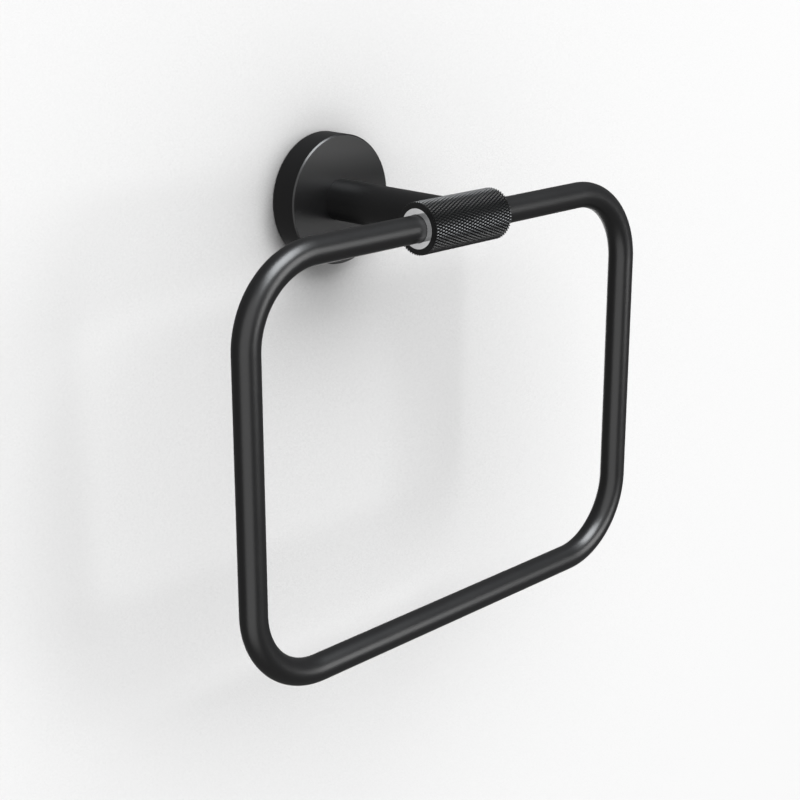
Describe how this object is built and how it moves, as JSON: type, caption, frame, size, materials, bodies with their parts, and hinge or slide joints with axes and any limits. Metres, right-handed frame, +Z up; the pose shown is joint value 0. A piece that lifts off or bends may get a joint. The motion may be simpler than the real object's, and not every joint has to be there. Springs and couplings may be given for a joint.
{
  "type": "towel ring",
  "caption": "Matt black towel ring for a wall: a round bar bent to a rounded rectangle swings in a knurled sleeve on a round post and rosette.",
  "frame": {"origin": "centre of the wall fixing, midway between the two slots, on the wall plane", "axes": "+X to the right along the pivot axis, +Y into the wall (the front faces -Y), +Z up"},
  "size_m": [0.21, 0.0796, 0.182],
  "materials": {
    "black_coat": "satin black powder coat",
    "black_knurl": "satin black coat on diamond knurling",
    "bush_metal": "polished plated bush",
    "cast_zinc": "dull cast zinc",
    "screw_steel": "plain bright steel"
  },
  "bodies": {
    "wall_fixture": {"wall_bracket": "cast_zinc", "rosette": "black_coat", "rosette_grub_screw": "screw_steel", "tie_washer": "screw_steel", "tie_screw": "screw_steel", "post": "black_coat", "sleeve": "black_knurl", "bush_left": "bush_metal", "bush_right": "bush_metal"},
    "swinging_ring": {"ring": "black_coat"}
  },
  "joints": [
    {"name": "ring_swing", "type": "hinge", "parent": "wall_fixture", "child": "swinging_ring", "pos_m": [0, -0.07, 0], "axis": [1, 0, 0], "range_deg": [-205, 25]}
  ]
}
